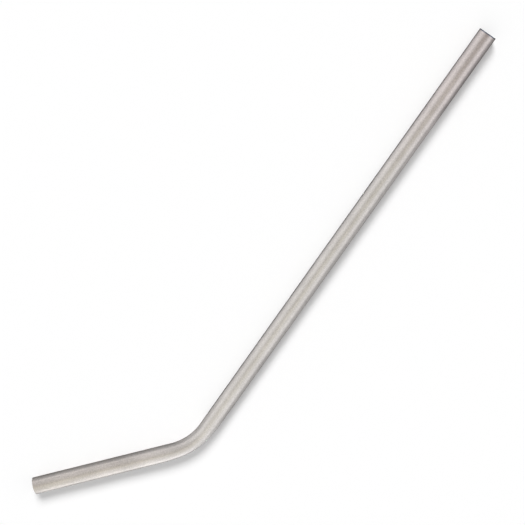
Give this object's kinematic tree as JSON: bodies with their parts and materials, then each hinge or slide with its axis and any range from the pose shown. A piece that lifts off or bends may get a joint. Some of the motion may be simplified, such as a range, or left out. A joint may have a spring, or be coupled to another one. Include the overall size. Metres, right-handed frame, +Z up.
{
  "type": "metal drinking straw",
  "caption": "Bent metal drinking straw: a slim thin-walled open-ended tube with a long straight stem, a gentle bend and a short mouthpiece, to sip a drink from a tall glass.",
  "frame": {"origin": "under the middle of the straw's box, on the surface that the straw lies on", "axes": "+X along the long stem, away from the bend; the mouthpiece turns away towards -X and +Y; +Z up, square to the bend's plane"},
  "size_m": [0.231, 0.047, 0.0063],
  "materials": {
    "satin_metal": "bare warm grey titanium, tumbled to a fine satin grain"
  },
  "bodies": {
    "root": {"straw_tube": "satin_metal"}
  },
  "joints": []
}
